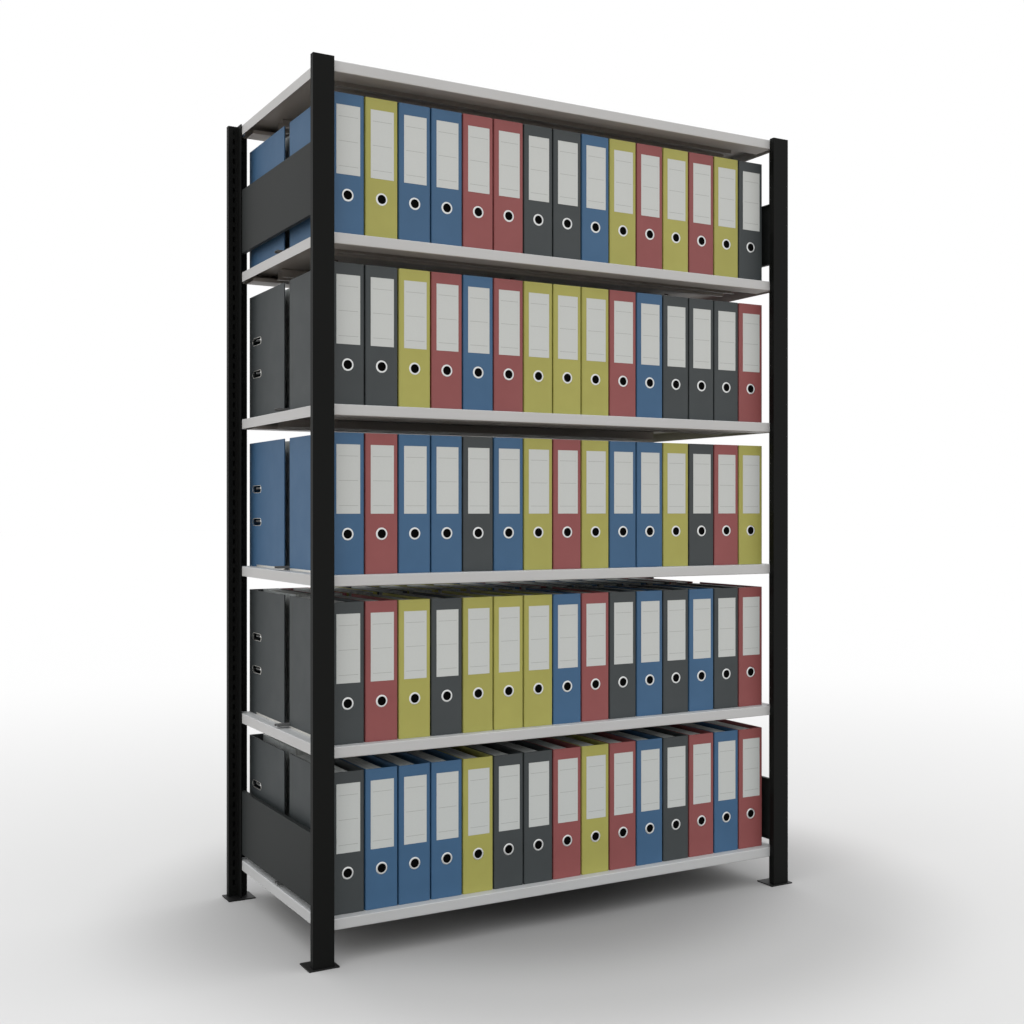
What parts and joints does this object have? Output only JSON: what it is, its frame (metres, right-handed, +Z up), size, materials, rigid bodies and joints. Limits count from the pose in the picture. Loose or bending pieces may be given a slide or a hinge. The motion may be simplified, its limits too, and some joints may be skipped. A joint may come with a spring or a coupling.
{
  "type": "archive shelving unit",
  "caption": "Free-standing double-sided archive shelving: slotted steel uprights, folded shelves on hook-in clips, side panels, centre stops and rows of lever arch files that draw out.",
  "frame": {"origin": "on the floor, at the centre of the unit's footprint", "axes": "+X along the shelves to the right as seen from the front, +Y from the front to the rear, +Z up"},
  "size_m": [1.371, 0.6418, 2],
  "materials": {
    "upright_paint": "fine textured powder coat, near black",
    "panel_paint": "fine textured powder coat, dark grey",
    "shelf_paint": "smooth powder coat, light grey",
    "clip_zinc": "zinc plated",
    "foot_plastic": "moulded, matt black",
    "file_board": "laminated board in blue, yellow, red and anthracite"
  },
  "bodies": {
    "shelving": {"front_left_upright": "upright_paint", "front_left_foot": "foot_plastic", "front_right_upright": "upright_paint", "front_right_foot": "foot_plastic", "rear_left_upright": "upright_paint", "rear_left_foot": "foot_plastic", "rear_right_upright": "upright_paint", "rear_right_foot": "foot_plastic", "shelf_1": "shelf_paint", "shelf_1_clip_front_left": "clip_zinc", "shelf_1_clip_front_right": "clip_zinc", "shelf_1_clip_rear_left": "clip_zinc", "shelf_1_clip_rear_right": "clip_zinc", "shelf_2": "shelf_paint", "shelf_2_clip_front_left": "clip_zinc", "shelf_2_clip_front_right": "clip_zinc", "shelf_2_clip_rear_left": "clip_zinc", "shelf_2_clip_rear_right": "clip_zinc", "shelf_3": "shelf_paint", "shelf_3_clip_front_left": "clip_zinc", "shelf_3_clip_front_right": "clip_zinc", "shelf_3_clip_rear_left": "clip_zinc", "shelf_3_clip_rear_right": "clip_zinc", "shelf_4": "shelf_paint", "shelf_4_clip_front_left": "clip_zinc", "shelf_4_clip_front_right": "clip_zinc", "shelf_4_clip_rear_left": "clip_zinc", "shelf_4_clip_rear_right": "clip_zinc", "shelf_5": "shelf_paint", "shelf_5_clip_front_left": "clip_zinc", "shelf_5_clip_front_right": "clip_zinc", "shelf_5_clip_rear_left": "clip_zinc", "shelf_5_clip_rear_right": "clip_zinc", "shelf_6": "shelf_paint", "shelf_6_clip_front_left": "clip_zinc", "shelf_6_clip_front_right": "clip_zinc", "shelf_6_clip_rear_left": "clip_zinc", "shelf_6_clip_rear_right": "clip_zinc", "lower_left_side_panel": "panel_paint", "lower_right_side_panel": "panel_paint", "upper_left_side_panel": "panel_paint", "upper_right_side_panel": "panel_paint", "centre_stop_1": "shelf_paint", "centre_stop_2": "shelf_paint", "centre_stop_3": "shelf_paint", "centre_stop_4": "shelf_paint", "centre_stop_5": "shelf_paint"},
    "front_files_1": {"front_file_row_1": "file_board"},
    "front_files_2": {"front_file_row_2": "file_board"},
    "front_files_3": {"front_file_row_3": "file_board"},
    "front_files_4": {"front_file_row_4": "file_board"},
    "front_files_5": {"front_file_row_5": "file_board"},
    "rear_files_1": {"rear_file_row_1": "file_board"},
    "rear_files_2": {"rear_file_row_2": "file_board"},
    "rear_files_3": {"rear_file_row_3": "file_board"},
    "rear_files_4": {"rear_file_row_4": "file_board"},
    "rear_files_5": {"rear_file_row_5": "file_board"}
  },
  "joints": [
    {"name": "front_files_1_draw", "type": "slide", "parent": "shelving", "child": "front_files_1", "axis": [0, -1, 0], "range_m": [0, 0.32]},
    {"name": "front_files_2_draw", "type": "slide", "parent": "shelving", "child": "front_files_2", "axis": [0, -1, 0], "range_m": [0, 0.32]},
    {"name": "front_files_3_draw", "type": "slide", "parent": "shelving", "child": "front_files_3", "axis": [0, -1, 0], "range_m": [0, 0.32]},
    {"name": "front_files_4_draw", "type": "slide", "parent": "shelving", "child": "front_files_4", "axis": [0, -1, 0], "range_m": [0, 0.32]},
    {"name": "front_files_5_draw", "type": "slide", "parent": "shelving", "child": "front_files_5", "axis": [0, -1, 0], "range_m": [0, 0.32]},
    {"name": "rear_files_1_draw", "type": "slide", "parent": "shelving", "child": "rear_files_1", "axis": [0, 1, 0], "range_m": [0, 0.32]},
    {"name": "rear_files_2_draw", "type": "slide", "parent": "shelving", "child": "rear_files_2", "axis": [0, 1, 0], "range_m": [0, 0.32]},
    {"name": "rear_files_3_draw", "type": "slide", "parent": "shelving", "child": "rear_files_3", "axis": [0, 1, 0], "range_m": [0, 0.32]},
    {"name": "rear_files_4_draw", "type": "slide", "parent": "shelving", "child": "rear_files_4", "axis": [0, 1, 0], "range_m": [0, 0.32]},
    {"name": "rear_files_5_draw", "type": "slide", "parent": "shelving", "child": "rear_files_5", "axis": [0, 1, 0], "range_m": [0, 0.32]}
  ]
}
